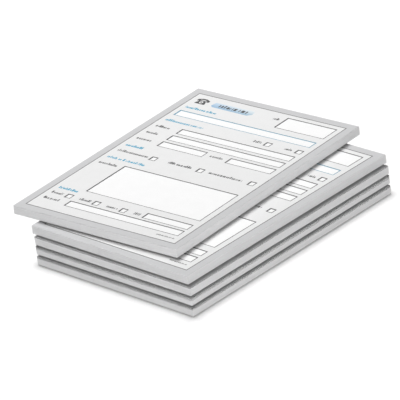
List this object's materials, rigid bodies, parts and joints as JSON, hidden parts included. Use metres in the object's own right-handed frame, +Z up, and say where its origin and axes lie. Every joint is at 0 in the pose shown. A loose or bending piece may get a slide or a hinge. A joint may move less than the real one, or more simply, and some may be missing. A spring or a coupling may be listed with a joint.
{
  "type": "telephone message pad",
  "caption": "Stack of glued telephone message pads: printed form sheets on thin boards. The pads lift off one another and the top pad's sheets turn up at the head edge.",
  "frame": {"origin": "middle of the underside of the lowest pad", "axes": "+Z up out of the stack, +Y towards the glued head edge, +X towards the right-hand side of the printed form"},
  "size_m": [0.1342, 0.1617, 0.025],
  "materials": {
    "printed_paper": "uncoated, printed with a pale grey form",
    "page_edges": "trimmed edges of printed sheets",
    "grey_board": "uncoated grey board",
    "glue_film": "dried milky padding glue, brushed on"
  },
  "bodies": {
    "pad_1": {"pad_1_backing_board": "grey_board", "pad_1_page_block": "page_edges", "pad_1_glue_strip": "glue_film", "pad_1_printed_sheet": "printed_paper"},
    "pad_2": {"pad_2_backing_board": "grey_board", "pad_2_page_block": "page_edges", "pad_2_glue_strip": "glue_film", "pad_2_printed_sheet": "printed_paper"},
    "pad_3": {"pad_3_backing_board": "grey_board", "pad_3_page_block": "page_edges", "pad_3_glue_strip": "glue_film", "pad_3_printed_sheet": "printed_paper"},
    "pad_4": {"pad_4_backing_board": "grey_board", "pad_4_page_block": "page_edges", "pad_4_glue_strip": "glue_film", "pad_4_printed_sheet": "printed_paper"},
    "pad_5": {"pad_5_backing_board": "grey_board", "pad_5_page_block": "page_edges", "pad_5_glue_strip": "glue_film"},
    "third_sheet": {"pad_5_third_sheet": "printed_paper"},
    "second_sheet": {"pad_5_second_sheet": "printed_paper"},
    "printed_sheet": {"pad_5_printed_sheet": "printed_paper"}
  },
  "joints": [
    {"name": "pad_2_lift", "type": "slide", "parent": "pad_1", "child": "pad_2", "axis": [0, 0, 1], "range_m": [0, 0.04]},
    {"name": "pad_3_lift", "type": "slide", "parent": "pad_2", "child": "pad_3", "axis": [0, 0, 1], "range_m": [0, 0.04]},
    {"name": "pad_4_lift", "type": "slide", "parent": "pad_3", "child": "pad_4", "axis": [0, 0, 1], "range_m": [0, 0.04]},
    {"name": "pad_5_lift", "type": "slide", "parent": "pad_4", "child": "pad_5", "axis": [0, 0, 1], "range_m": [0, 0.04]},
    {"name": "third_sheet_turn", "type": "hinge", "parent": "pad_5", "child": "third_sheet", "pos_m": [-0.02925, 0.08405, 0.02473], "axis": [-0.998, -0.0628, 0], "range_deg": [0, 20]},
    {"name": "second_sheet_turn", "type": "hinge", "parent": "third_sheet", "child": "second_sheet", "pos_m": [-0.02925, 0.08405, 0.02482], "axis": [-0.998, -0.0628, 0], "range_deg": [0, 35]},
    {"name": "printed_sheet_turn", "type": "hinge", "parent": "second_sheet", "child": "printed_sheet", "pos_m": [-0.02925, 0.08405, 0.02491], "axis": [-0.998, -0.0628, 0], "range_deg": [0, 115]}
  ]
}
